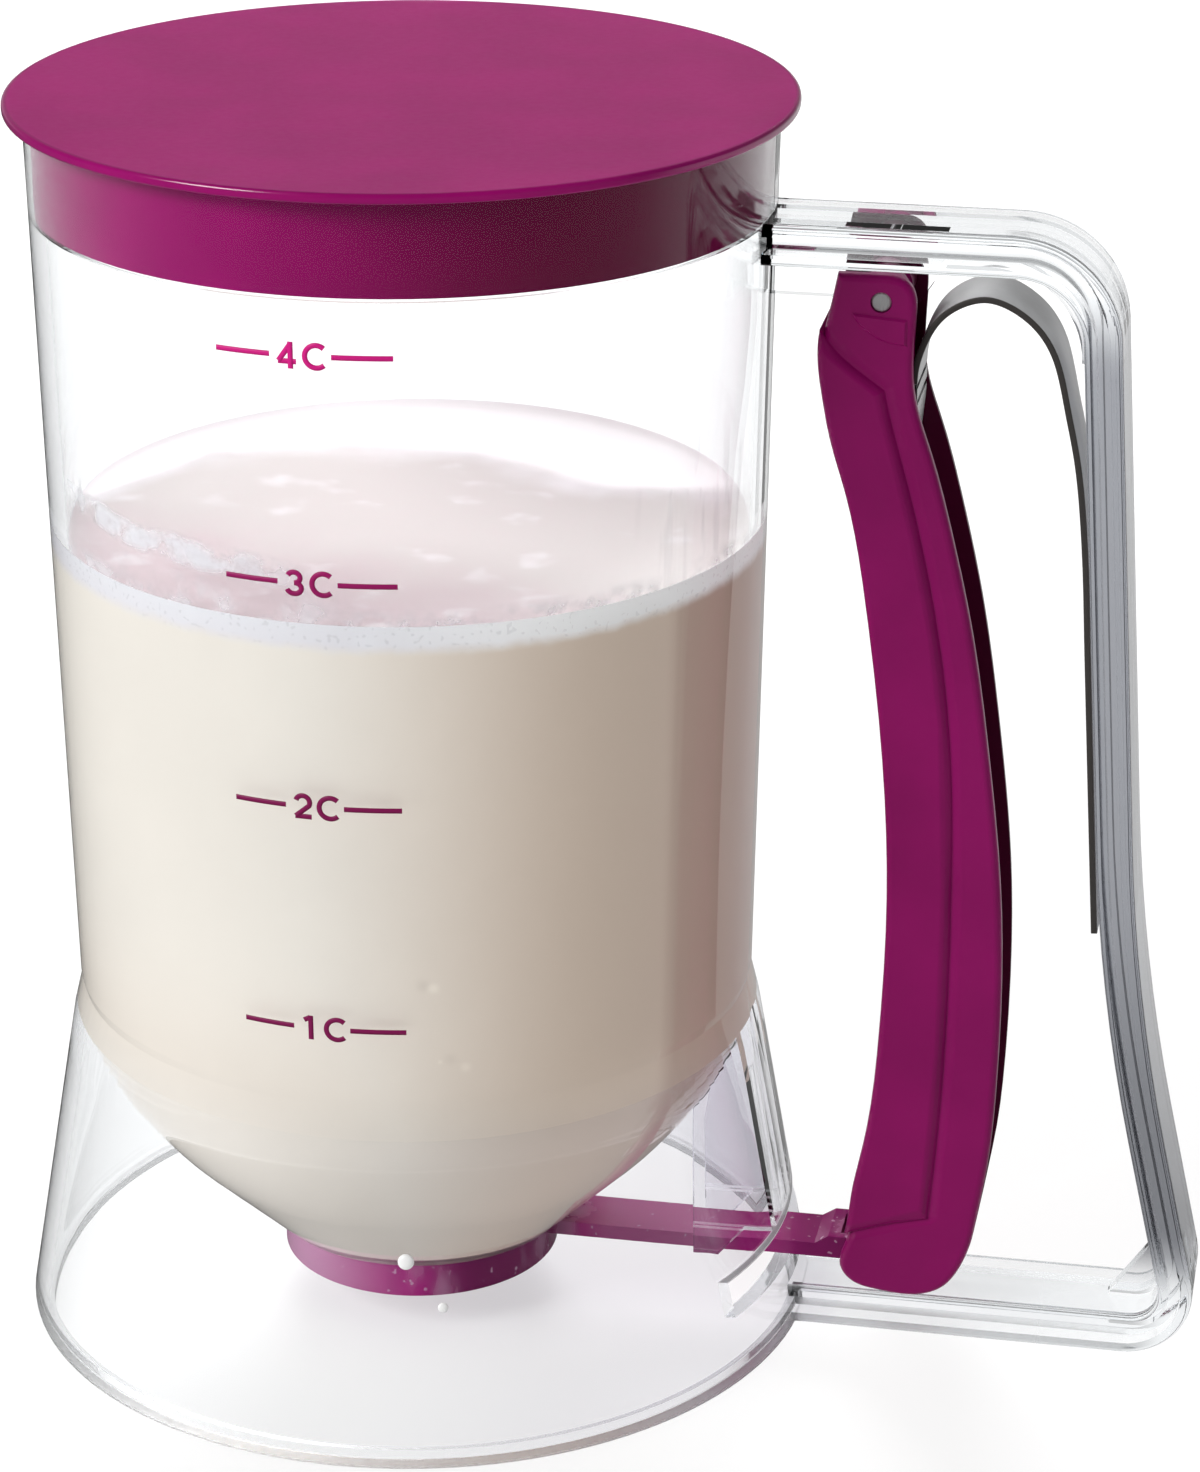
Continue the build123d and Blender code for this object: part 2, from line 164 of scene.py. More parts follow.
class Value:
    """A node socket that takes part in Python expressions."""

    def __init__(self, tree, socket):
        self.tree = tree
        self.socket = socket

    def maths(self, operation, *others):
        node = self.tree.nodes.new("ShaderNodeMath")
        node.operation = operation
        for socket, value in zip(node.inputs, (self, *others)):
            feed(self.tree, socket, value)
        return Value(self.tree, node.outputs[0])

    def __add__(self, other):
        return self.maths("ADD", other)

    def __mul__(self, other):
        return self.maths("MULTIPLY", other)

    def __sub__(self, other):
        return self.maths("SUBTRACT", other)

    def __rsub__(self, other):
        return (self * -1.0) + other

    def __truediv__(self, other):
        return self.maths("DIVIDE", other)

    __radd__ = __add__
    __rmul__ = __mul__

    def between(self, low, high):
        """0 at low, 1 at high, smooth between; low may be the larger one."""
        return make_node(self.tree, "ShaderNodeMapRange", {"interpolation_type": "SMOOTHSTEP", "clamp": True},
                         0, {"Value": self, "From Min": low, "From Max": high})

    def most(self, other):
        return self.maths("MAXIMUM", other)

    def least(self, other):
        return self.maths("MINIMUM", other)

    def length_with(self, other):
        """Length of the vector that has these two as its parts."""
        return (self * self + other * other).maths("SQRT")

    def bearing(self, x):
        """Degrees round the axis from +X, where this is the y."""
        return self.maths("ARCTAN2", x) * (180 / math.pi)


def feed(tree, socket, value):
    """Put a number, a colour, a material or a Value into a socket."""
    if isinstance(value, Value):
        tree.links.new(value.socket, socket)
    elif hasattr(value, "__len__") and len(value) == 3 and socket.type == "RGBA":
        socket.default_value = (*value, 1.0)
    else:
        socket.default_value = value


def make_node(tree, kind, settings=None, out=0, sockets=None):
    """Any node: its settings first, then the values or links of its sockets, by name or number."""
    node = tree.nodes.new(kind)
    for name, value in (settings or {}).items():
        setattr(node, name, value)
    for key, value in (sockets or {}).items():
        socket = node.inputs[key] if isinstance(key, int) else next(
            s for s in node.inputs if s.name == key and s.enabled)
        feed(tree, socket, value)
    return Value(tree, node.outputs[out])


def toned(colour, share):
    """A colour made darker or lighter, with nothing in it above 1."""
    return tuple(min(1.0, v * share) for v in colour)


def mix_colour(tree, share, a, b):
    """Colour a where the share is 0, b where it is 1."""
    return make_node(tree, "ShaderNodeMix", {"data_type": "RGBA"}, 2, {0: share, 6: a, 7: b})


def split(tree, vector):
    """The x, y and z of a vector."""
    node = tree.nodes.new("ShaderNodeSeparateXYZ")
    tree.links.new(vector.socket, node.inputs[0])
    return [Value(tree, node.outputs[i]) for i in range(3)]


def new_material(name):
    material = bpy.data.materials.new(name)
    material.use_nodes = True
    material.node_tree.nodes.clear()
    return material, material.node_tree


def surface(tree, shader, volume=None):
    output = tree.nodes.new("ShaderNodeOutputMaterial")
    tree.links.new(shader.socket, output.inputs["Surface"])
    if volume:
        tree.links.new(volume.socket, output.inputs["Volume"])


def place(tree):
    """Object coordinates: the vector, then x, y and z."""
    coordinates = make_node(tree, "ShaderNodeTexCoord", None, 3)
    return coordinates, split(tree, coordinates)


def grain(tree, coordinates, scale, detail=2.0, stretch=None):
    """Noise from 0 to 1, in cells per metre, drawn out where a stretch is given."""
    if stretch:
        coordinates = make_node(tree, "ShaderNodeMapping", None, 0, {"Vector": coordinates, "Scale": stretch})
    return make_node(tree, "ShaderNodeTexNoise", None, 0,
                     {"Vector": coordinates, "Scale": scale, "Detail": detail})


def spot(tree, coordinates, centre, radius):
    """1 at a point given in millimetres, falling smoothly to 0 at a radius."""
    away = make_node(tree, "ShaderNodeVectorMath", {"operation": "DISTANCE"}, 1,
                     {0: coordinates, 1: tuple(v * MM for v in centre)})
    return away.between(radius, 0.0)


def principled(tree, sockets):
    return make_node(tree, "ShaderNodeBsdfPrincipled", None, 0, sockets)


def mix_shaders(tree, share, a, b):
    """Shader a where the share is 0, b where it is 1."""
    return make_node(tree, "ShaderNodeMixShader", None, 0, {0: share, 1: a, 2: b})


def ray_kinds(tree):
    """1 for rays that are seen straight, for those that came through a clear part, and for mirrored ones."""
    path = tree.nodes.new("ShaderNodeLightPath")
    through = Value(tree, path.outputs["Is Transmission Ray"])
    seen = Value(tree, path.outputs["Is Camera Ray"])
    mirrored = Value(tree, path.outputs["Is Glossy Ray"])
    return seen, through, mirrored * (1 - through)


def light_passes(tree, shader, tint):
    """Let lamps through a clear shader, because glass alone would shade everything inside it."""
    path = tree.nodes.new("ShaderNodeLightPath")
    shadow = Value(tree, path.outputs["Is Shadow Ray"])
    diffuse = Value(tree, path.outputs["Is Diffuse Ray"])
    clear = make_node(tree, "ShaderNodeBsdfTransparent", None, 0, {"Color": tint})
    return mix_shaders(tree, shadow.most(diffuse), shader, clear)


# ---- finishes

# Where the clear plastic changes: each pair is the two ends of a soft step along one axis.
SKIRT_START, SKIRT_END, SKIRT_TOP = (-0.005, 0.045), (0.066, 0.060), (0.050, 0.046)
UPRIGHT_START, UPRIGHT_FOOT, UPRIGHT_HEAD = (0.088, 0.097), (0.007, 0.016), (0.162, 0.148)
UPRIGHT_SHADE_DEEPENS = (0.075, 0.030)
FOOT_RING = (0.0004, 0.0002)
WINDOW_Z, WINDOW_LINE, WINDOW_HALF = 0.015, (0.0003, 0.0001), (0.0238, 0.0235)
WINDOW_START, WINDOW_END = (0.035, 0.036), (0.062, 0.060)
DEEPEST_UPRIGHT_SHADE = 0.68
MATT = 0.4


def clear_plastic(colours):
    """Clear plastic, matt on the foot and the window's edge; painted shade tints the handle's upright dark
    and the skirt beside it greyer, and a painted glow brightens the window's edge."""
    material, tree = new_material("clear plastic")
    _, (x, y, z) = place(tree)
    # Painted shade: the skirt beside the handle is tinted greyer.
    beside = x.between(*SKIRT_START) * x.between(*SKIRT_END) * z.between(*SKIRT_TOP)
    tint = mix_colour(tree, beside, colours.clear_tint, colours.skirt_shade)
    # Painted shade: the thick upright is tinted dark, deepest towards its foot.
    upright_shade = mix_colour(tree, z.between(*UPRIGHT_SHADE_DEEPENS), colours.upright, toned(colours.upright, DEEPEST_UPRIGHT_SHADE))
    upright = x.between(*UPRIGHT_START) * z.between(*UPRIGHT_FOOT) * z.between(*UPRIGHT_HEAD)
    tint = mix_colour(tree, upright, tint, upright_shade)
    foot = z.between(*FOOT_RING)
    line = (z - WINDOW_Z).maths("ABSOLUTE").between(*WINDOW_LINE)
    line = line * y.maths("ABSOLUTE").between(*WINDOW_HALF)
    window_edge = line * x.between(*WINDOW_START) * x.between(*WINDOW_END)
    # Painted light: the window's edge glows pale as well as being matt.
    glass = principled(tree, {
        "Base Color": tint, "Roughness": foot.most(window_edge) * MATT, "IOR": 1.49,
        "Transmission Weight": 1.0, "Specular Tint": (0.12, 0.12, 0.12), "Emission Strength": 0.2,
        "Emission Color": mix_colour(tree, window_edge, BLACK, (0.8, 0.8, 0.83))})
    depth = make_node(tree, "ShaderNodeVolumeAbsorption", None, 0,
                      {"Color": (0.0, 0.22, 0.34), "Density": 6.0})
    surface(tree, light_passes(tree, glass, (0.985, 0.987, 0.99)), depth)
    return material


def groove(x, z, line, width):
    """0 on a line given in the XZ plane in millimetres, rising to 1 at a width from it."""
    nearest = None
    for (ax, az), (bx, bz) in zip(line, line[1:]):
        along = Vector((bx - ax, bz - az))
        size = along.length
        along.normalize()
        dx, dz = x - ax * MM, z - az * MM
        share = (dx * along.x + dz * along.y).most(0.0).least(size * MM)
        away = (dx - share * along.x).length_with(dz - share * along.y)
        nearest = away if nearest is None else nearest.least(away)
    return nearest.between(0.0, width)


# Edge of the lever's grip panel in the XZ plane, in millimetres: slanting top, long side and foot.
PANEL_EDGE = [(56.0, 156.2), (61.8, 150.5), (68.1, 145.7), (68.9, 142.2), (70.9, 135.0), (73.6, 124.6),
              (76.4, 111.0), (78.2, 98.0), (79.4, 72.0), (79.2, 47.5), (77.6, 20.6), (72.0, 18.6),
              (62.0, 15.2)]
GROOVE_WIDTH, GROOVE_DEPTH = 0.0016, 0.00045
# Painted shade inside the lever's channel, where its far inner wall lies in shade.
CHANNEL_START, CHANNEL_END = (0.001, 0.004), (0.0080, 0.0074)  # along y, inside of the lever
RIM_STEP, BAND_STEP = 0.0004, 0.0004
# Painted shade on the lid's band, darker towards the handle's side, away from the key lamp.
BAND_SHADE_SPAN = (-0.025, 0.035)  # along x


def darkened(colour, red, blue):
    """A plum with hardly any green, and with shares of its red and blue."""
    return (colour[0] * red, 0.0004, colour[2] * blue)


def plum_plastic(name, colour, shine, panel_edge=None, rim=None, band_top=None):
    """Grained plum; a lever has a groove round its panel and painted shade inside its channel, and a lid has
    a polished rim and a band with painted shade that darkens it towards the handle."""
    material, tree = new_material(name)
    coordinates, (x, y, z) = place(tree)
    fine = grain(tree, coordinates, 900.0)
    cloud = grain(tree, coordinates, 60.0, 3.0)
    shade = mix_colour(tree, cloud.between(0.3, 0.7), toned(colour, 0.93), toned(colour, 1.06))
    bump = make_node(tree, "ShaderNodeBump", None, 0, {"Strength": 0.03, "Distance": 0.0002, "Height": fine})
    coat = 0.0
    if panel_edge:
        # Painted shade: the inside of the channel is darkened.
        channel = y.between(*CHANNEL_START) * y.between(*CHANNEL_END)
        shade = mix_colour(tree, channel, shade, darkened(colour, 0.30, 0.22))
        bump = make_node(tree, "ShaderNodeBump", None, 0,
                         {"Strength": 1.0, "Distance": GROOVE_DEPTH, "Normal": bump,
                          "Height": groove(x, z, panel_edge, GROOVE_WIDTH)})
    if rim:
        # Painted shade: the band darkens towards the handle's side.
        band = z.between(band_top, band_top - BAND_STEP) * x.between(*BAND_SHADE_SPAN)
        shade = mix_colour(tree, band, shade, darkened(colour, 0.40, 0.26))
        coat = x.length_with(y).between(rim - RIM_STEP, rim)
    surface(tree, principled(tree, {
        "Base Color": shade, "Roughness": fine * 0.08 + 0.26, "IOR": 1.46, "Specular IOR Level": shine,
        "Normal": bump, "Coat Weight": coat, "Coat Roughness": 0.16}))
    return material


# Along the valve: where the disc has painted sheen and painted shade, where the arm is paler, and where it
# has painted shade.
DISC_SHEEN, DISC_SHADE, DISC_ENDS = (0.006, -0.016), (0.002, 0.012), (0.026, 0.021)
ARM_PALER_FROM, ARM_PALER_TO, ARM_SHADE = (0.024, 0.030), (0.050, 0.044), (0.052, 0.060)


def valve_plastic(colours):
    """Tinted, slightly clear plastic with dried batter in specks and smears, a paler stretch of arm, and
    painted sheen and shade.
    """
    material, tree = new_material("tinted valve plastic")
    coordinates, (x, _, _) = place(tree)
    smear = grain(tree, coordinates, 130.0, 4.0, (1.0, 1.0, 0.35)).between(0.56, 0.75)
    speck = grain(tree, coordinates, 900.0, 1.0).between(0.68, 0.74)
    # Painted shade on the disc's right and the arm's outer end; painted sheen on the disc's left in the dried
    # batter's colour, and a paler stretch of the arm inside the skirt.
    dark = (x.between(*DISC_SHADE) * x.between(*DISC_ENDS)).most(x.between(*ARM_SHADE) * 0.75)
    pale = (x.between(*DISC_SHEEN) * 0.7).most(x.between(*ARM_PALER_FROM) * x.between(*ARM_PALER_TO) * 0.22)
    colour = mix_colour(tree, dark, colours.valve, toned(colours.valve, 0.45))
    colour = mix_colour(tree, (smear * 0.35).most(speck * 0.7).most(pale), colour, colours.residue_and_sheen)
    surface(tree, principled(tree, {
        "Base Color": colour, "Roughness": smear * 0.2 + 0.2, "IOR": 1.46, "Transmission Weight": 0.25,
        "Specular IOR Level": 0.25}))
    return material


EDGE_SHADE_BAND = (0.0002, 0.0001)  # from a strip's side, inwards


def steel(colours, name, roughness, half_width=None):
    """Dull rolled steel with fine lines along the strip; painted shade darkens a strip's cut edges."""
    material, tree = new_material(name)
    coordinates, (_, y, _) = place(tree)
    lines = grain(tree, coordinates, 1400.0, 2.0, (1.0, 1.0, 0.04))
    cloud = grain(tree, coordinates, 90.0, 3.0)
    shade = mix_colour(tree, cloud.between(0.3, 0.75), toned(colours.steel, 0.86), colours.steel)
    if half_width:
        # Painted shade along the strip's side edges.
        edge = y.maths("ABSOLUTE").between(*(half_width - inward for inward in EDGE_SHADE_BAND))
        shade = mix_colour(tree, edge, shade, colours.edge_shade)
    bump = make_node(tree, "ShaderNodeBump", None, 0, {"Strength": 0.05, "Distance": 0.0001, "Height": lines})
    surface(tree, principled(tree, {
        "Base Color": shade, "Metallic": 0.55, "Normal": bump, "Roughness": lines * 0.15 + roughness}))
    return material


def ink(colours):
    """Printing ink with painted light: brighter higher up, where no batter stands behind it."""
    material, tree = new_material("mark ink")
    _, (_, _, z) = place(tree)
    # Painted light: the ink turns from its shaded colour to a lit one where light comes through from behind.
    colour = mix_colour(tree, z.between(0.118, 0.152), colours.ink, colours.ink_lit)
    surface(tree, principled(tree, {"Base Color": colour, "Roughness": 0.45, "Specular IOR Level": 0.2}))
    return material


# Bubbles at the wall, in millimetres, each a place and a radius: painted shade on their dim sides, then
# painted highlights on their bright ones.
BUBBLE_SHADE = (((11.6, -45.8, 69.8), 1.6), ((15.0, -44.6, 58.4), 1.4))
BUBBLE_GLINTS = (((13.0, -45.4, 69.3), 1.3), ((16.9, -43.9, 57.0), 1.2), ((13.6, -45.0, 58.0), 0.5))

# Batter at the wall, by height and by degrees round the axis from the handle: painted shade on the side away
# from the light and low down, and a painted reflection of the plum lever beside the handle.
SHADE_START, SHADE_END, SHADE_LOW = (-98.0, -45.0), (60.0, 20.0), (0.075, 0.045)
REFLECTION_START, REFLECTION_END = (-33.0, -27.0), (10.0, -10.0)
# Where painted light glows: the funnel, the foam's right, and the froth's edge.
FUNNEL_TOP, FUNNEL_LIT = (0.055, 0.040), (-85.0, -115.0)
FOAM_PALES, FOAM_GLOW_SPAN = (0.0, 0.035), (0.0, 0.03)
FOAM_EDGE = (-0.0010, 0.0011)
FROTH_EDGE, FROTH_GLOW = (-0.007, 0.006), (0.0, 0.006)
NEAR_TO_MIDDLE = (-0.040, -0.010)
SURFACE_SKIN, SURFACE_RIM = (0.004, 0.003), (0.0484, 0.0480)


def froth_line(x):
    """The y at which the white froth starts, for an x: a broken line across the surface."""
    left = (x + 0.048) * 1.92 - 0.008
    crest = (x + 0.035) * 0.47 + 0.017
    right = (0.0272 - x * 0.55).most(0.0135)
    return left.least(crest).least(right).least(0.0255)


def batter_mix(batter):
    """Cream batter: a foam band at the wall, and a surface that is pinkish near the marks, white behind;
    painted glow on the foam, funnel and froth.
    """
    material, tree = new_material("batter")
    coordinates, (x, y, z) = place(tree)
    drift = grain(tree, coordinates, 30.0, 3.0)
    fine = grain(tree, coordinates, 260.0, 3.0)
    cloud = grain(tree, coordinates, 85.0, 3.0)
    turn = y.bearing(x)

    body = mix_colour(tree, drift.between(0.3, 0.7), toned(batter.colour, 0.955), batter.colour)
    # Painted shade and painted highlights of the bubbles behind the wall.
    for marks, tone in ((BUBBLE_SHADE, 0.86), (BUBBLE_GLINTS, 1.2)):
        for centre, radius in marks:
            mark = spot(tree, coordinates, centre, radius * MM)
            body = mix_colour(tree, mark, body, toned(batter.colour, tone))
    # Painted shade on the side away from the lamps and, a little, low down; then the painted reflection of
    # the lever.
    shaded = (turn.between(*SHADE_START) * turn.between(*SHADE_END)).most(z.between(*SHADE_LOW) * 0.25)
    body = mix_colour(tree, shaded, body, batter.shade)
    lever_reflection = turn.between(*REFLECTION_START) * turn.between(*REFLECTION_END) * 0.6
    body = mix_colour(tree, lever_reflection, body, batter.lever_reflection)

    low = batter.level - batter.foam_depth
    ripple = z + (drift - 0.5) * 0.0012 + (fine - 0.5) * 0.0012
    foam = ripple.between(low + FOAM_EDGE[0], low + FOAM_EDGE[1])
    specks = grain(tree, coordinates, 1500.0, 0.0).between(0.66, 0.74) * 0.3
    paler = mix_colour(tree, x.between(*FOAM_PALES), batter.foam, batter.froth)
    wall = mix_colour(tree, foam, body, mix_colour(tree, specks, paler, toned(batter.foam, 0.6)))

    edge = froth_line(x)
    froth = (y - edge + (cloud - 0.5) * 0.016).between(*FROTH_EDGE)
    lumps = grain(tree, coordinates, 120.0, 3.0).between(0.56, 0.76)
    nearer = (y + x * 0.35 + (cloud - 0.5) * 0.02).between(*NEAR_TO_MIDDLE)
    cream = mix_colour(tree, nearer, batter.skin, batter.middle)
    top = mix_colour(tree, froth.most(lumps * 0.6), cream, batter.froth)

    high = z.between(*(batter.level - down for down in SURFACE_SKIN))
    inside = x.length_with(y).between(*SURFACE_RIM) * high
    # Painted light: the foam's right, the funnel and the froth's edge glow, as if more light reached them.
    funnel = z.between(*FUNNEL_TOP) * (turn.between(*FUNNEL_LIT) * 0.65 + 0.35)
    lit = (foam * x.between(*FOAM_GLOW_SPAN)).most(funnel) * (1 - inside) * 0.35
    lit = lit.most(froth * high * (y - edge).between(*FROTH_GLOW))
    bump = make_node(tree, "ShaderNodeBump", None, 0,
                     {"Strength": 0.25, "Distance": 0.0006, "Height": cloud + fine * 0.3})
    surface(tree, principled(tree, {
        "Base Color": mix_colour(tree, inside, wall, top), "Roughness": 0.4, "Specular IOR Level": 0.2,
        "Normal": bump, "Emission Strength": 0.35,
        "Emission Color": mix_colour(tree, lit, BLACK, (1.0, 0.99, 0.975))}))
    return material


# Smears on the wall, by height and by degrees round the axis.
RIDGE_Z, RIDGE_TURN, RIDGE_SLOPE, RIDGE_BAND = 0.1305, -127.0, 0.00006, (0.0026, 0.0008)
RIDGE_START, RIDGE_END = (-168.0, -150.0), (-88.0, -106.0)
SPLASH_Z, SPLASH_END = (0.1290, 0.1235), (-80.0, -100.0)
SHORE_Z = (0.1252, 0.1226)
STREAKS_AT, STREAKS_Z = (-42.0, -30.0), (0.146, 0.134)
THICKEST = 0.8


def film_finish(batter):
    """Smears of batter on the wall above the surface: clear where there is none."""
    material, tree = new_material("batter film")
    coordinates, (x, y, z) = place(tree)
    turn = y.bearing(x)
    cloud = grain(tree, coordinates, 230.0, 4.0)
    broad = grain(tree, coordinates, 70.0, 3.0)
    ridge = RIDGE_Z - (turn - RIDGE_TURN) * RIDGE_SLOPE
    band = (z - ridge + (broad - 0.5) * 0.004).maths("ABSOLUTE").between(*RIDGE_BAND)
    ends = turn.between(*RIDGE_START) * turn.between(*RIDGE_END)
    splash = z.between(*SPLASH_Z) * turn.between(*SPLASH_END) * 0.75
    cover = (band * ends).most(splash * broad.between(0.46, 0.64)) * cloud.between(0.34, 0.62)
    cover = cover.most(z.between(*SHORE_Z) * cloud.between(0.38, 0.68) * 0.65)
    streaks = grain(tree, coordinates, 400.0, 2.0, (1.0, 1.0, 0.12)).between(0.50, 0.66)
    right = turn.between(*STREAKS_AT) * z.between(*STREAKS_Z) * streaks * 0.22
    sheet = principled(tree, {"Base Color": batter.foam, "Roughness": 0.5, "Specular IOR Level": 0.2})
    clear = make_node(tree, "ShaderNodeBsdfTransparent")
    surface(tree, mix_shaders(tree, cover.most(right) * THICKEST, clear, sheet))
    return material


def plain_finish(name, colour, roughness):
    """Small drops: one colour, a little uneven."""
    material, tree = new_material(name)
    coordinates, _ = place(tree)
    shade = mix_colour(tree, grain(tree, coordinates, 500.0), toned(colour, 0.94), colour)
    surface(tree, principled(tree, {"Base Color": shade, "Roughness": roughness}))
    return material


def paint(obj, material):
    obj.data.materials.clear()
    obj.data.materials.append(material)


# ---- mesh helpers

def add_object(name, mesh):
    obj = bpy.data.objects.new(name, mesh)
    bpy.context.scene.collection.objects.link(obj)
    return obj


def new_piece(name, vertices, faces, material, smooth=True):
    """A mesh object whose place is in its vertices, with its faces turned outwards."""
    mesh = bpy.data.meshes.new(name)
    mesh.from_pydata([tuple(v) for v in vertices], [], faces)
    work = bmesh.new()
    work.from_mesh(mesh)
    bmesh.ops.remove_doubles(work, verts=work.verts, dist=1e-7)
    bmesh.ops.recalc_face_normals(work, faces=work.faces)
    work.to_mesh(mesh)
    work.free()
    mesh.shade_smooth() if smooth else mesh.shade_flat()
    obj = add_object(name, mesh)
    paint(obj, material)
    return obj


def hopper_radius(z):
    """Outside radius of the tapered cylinder at a height; z is a number or a Value."""
    return (z - WAIST_Z) * ((RIM_RADIUS - WAIST_RADIUS) / (RIM_Z - WAIST_Z)) + WAIST_RADIUS


def sharp_by_angle(obj, degrees):
    """Smooth faces that meet at less than an angle."""
    obj.data.shade_smooth()
    obj.data.set_sharp_from_angle(angle=math.radians(degrees))


def keep_result(obj):
    """Replace an object's mesh by what its modifiers make of it, and take the modifiers off."""
    evaluated = obj.evaluated_get(bpy.context.evaluated_depsgraph_get())
    mesh = bpy.data.meshes.new_from_object(evaluated)
    obj.modifiers.clear()
    obj.data = mesh


CLEAR_NODES = ("hopper", "base_skirt", "handle_frame")
SEAM_REACH, SEAM_DEPTH = 0.35 * MM, 0.4 * MM  # how near a neighbour lies, and how far the seam goes in
SAME_PLACE = 0.03 * MM
SAME_WAY, FACING = 0.95, -0.7  # cosines between two normals


def merged_copy(name):
    """A CAD node's mesh as bmesh, its faces joined at their common edges."""
    work = bmesh.new()
    work.from_mesh(NODES[name].data)
    bmesh.ops.remove_doubles(work, verts=work.verts, dist=1e-6)
    return work


def take_normals(obj, names):
    """Give an object the shading normals of the CAD nodes it was joined from, where it still follows them."""
    corners, triangles, normals = [], [], []
    for name in names:
        mesh = NODES[name].data
        for polygon in mesh.polygons:
            triangles.append(tuple(range(len(corners), len(corners) + len(polygon.loop_indices))))
            for i in polygon.loop_indices:
                corners.append(mesh.vertices[mesh.loops[i].vertex_index].co.copy())
                normals.append(mesh.corner_normals[i].vector.copy())
    source = BVHTree.FromPolygons(corners, triangles)
    mesh = obj.data
    result = []
    for polygon in mesh.polygons:
        for i in polygon.vertices:
            beside = source.find_nearest_range(mesh.vertices[i].co, SAME_PLACE)
            best = max(beside, key=lambda hit: hit[1].dot(polygon.normal), default=None)
            if not best or best[1].dot(polygon.normal) < SAME_WAY:
                result.append(polygon.normal.copy())
                continue
            triangle = triangles[best[2]]
            shares = poly_3d_calc([corners[k] for k in triangle], best[0])
            normal = sum((normals[k] * share for k, share in zip(triangle, shares)), Vector())
            result.append(normal.normalized())
    mesh.normals_split_custom_set(result)


def press_into(work, neighbour):
    """Move the faces that lie along a neighbour into it, so that the two can be joined."""
    seam = set()
    for face in work.faces:
        if all(neighbour.find_nearest(v.co, SEAM_REACH)[0] for v in face.verts):
            beside = neighbour.find_nearest(face.calc_center_median())
            if beside[1].dot(face.normal) < FACING:
                seam.update(face.verts)
    for vertex in seam:
        spot_on, normal, _, _ = neighbour.find_nearest(vertex.co)
        vertex.co = spot_on - normal * SEAM_DEPTH


# ---- Geometry Nodes helpers

def new_tree(name, inputs):
    """A Geometry Nodes tree with a geometry input and named numbers; gives back the tree and its inputs."""
    tree = bpy.data.node_groups.new(name, "GeometryNodeTree")
    tree.interface.new_socket("Geometry", in_out="INPUT", socket_type="NodeSocketGeometry")
    for title, default in inputs.items():
        number = tree.interface.new_socket(title, in_out="INPUT", socket_type="NodeSocketFloat")
        number.default_value = default
    tree.interface.new_socket("Geometry", in_out="OUTPUT", socket_type="NodeSocketGeometry")
    entry = tree.nodes.new("NodeGroupInput")
    return tree, {s.name: Value(tree, s) for s in entry.outputs if s.name}


def close_tree(tree, geometry, material):
    whole = make_node(tree, "GeometryNodeRealizeInstances", None, 0, {"Geometry": geometry})
    painted = make_node(tree, "GeometryNodeSetMaterial", None, 0, {"Geometry": whole, "Material": material})
    leave = tree.nodes.new("NodeGroupOutput")
    tree.links.new(painted.socket, leave.inputs[0])


def strip_along(tree, curve, width, thickness, rounding):
    """A flat bar along a curve: wide across it, thin along its second normal."""
    upright = make_node(tree, "GeometryNodeSetCurveNormal", {"mode": "Z_UP"}, 0, {"Curve": curve})
    section = make_node(tree, "GeometryNodeCurvePrimitiveQuadrilateral", None, 0,
                        {"Width": width, "Height": thickness})
    if rounding:
        section = make_node(tree, "GeometryNodeFilletCurve", {"mode": "POLY"}, 0,
                            {"Curve": section, "Radius": rounding, "Count": 2})
    return make_node(tree, "GeometryNodeCurveToMesh", None, 0,
                     {"Curve": upright, "Profile Curve": section, "Fill Caps": True})


def line_mesh(name, lines):
    """A mesh of edges: one open line for each list of points."""
    vertices, edges = [], []
    for line in lines:
        edges += [(len(vertices) + i, len(vertices) + i + 1) for i in range(len(line) - 1)]
        vertices += line
    mesh = bpy.data.meshes.new(name)
    mesh.from_pydata(vertices, edges, [])
    return mesh


def grow(name, mesh, tree, values):
    """Run a Geometry Nodes tree on a mesh and keep what it makes as a plain mesh object."""
    obj = add_object(name, mesh)
    modifier = obj.modifiers.new(name, "NODES")
    modifier.node_group = tree
    for item in tree.interface.items_tree:
        if item.in_out == "INPUT" and item.name in values:
            modifier[item.identifier] = values[item.name]
    keep_result(obj)
    return obj


# ---- operators

class DISPENSER_OT_clear_parts(bpy.types.Operator):
    """Join the hopper, skirt and handle to one clear moulding"""
    bl_idname = "dispenser.clear_parts"
    bl_label = "Clear parts"

    def execute(self, context):
        shapes = {name: merged_copy(name) for name in CLEAR_NODES}
        hopper = BVHTree.FromBMesh(shapes["hopper"])
        skirt = BVHTree.FromBMesh(shapes["base_skirt"])
        press_into(shapes["base_skirt"], hopper)
        press_into(shapes["handle_frame"], hopper)
        press_into(shapes["handle_frame"], skirt)
        body, *others = [self.as_object(name, work) for name, work in shapes.items()]
        body.name = "clear_body"
        for other in others:
            join = body.modifiers.new(other.name, "BOOLEAN")
            join.operation = "UNION"
            join.solver = "EXACT"
            join.object = other
        keep_result(body)
        for other in others:
            bpy.data.objects.remove(other)
        sharp_by_angle(body, degrees=28)
        take_normals(body, CLEAR_NODES)
        paint(body, clear_plastic(context.scene.dispenser_colours))
        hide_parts("hopper", "base_skirt", "handle_frame")
        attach(body, "container")
        return {"FINISHED"}

    def as_object(self, name, work):
        mesh = bpy.data.meshes.new(name + "_copy")
        work.to_mesh(mesh)
        work.free()
        return add_object("clear_" + name, mesh)


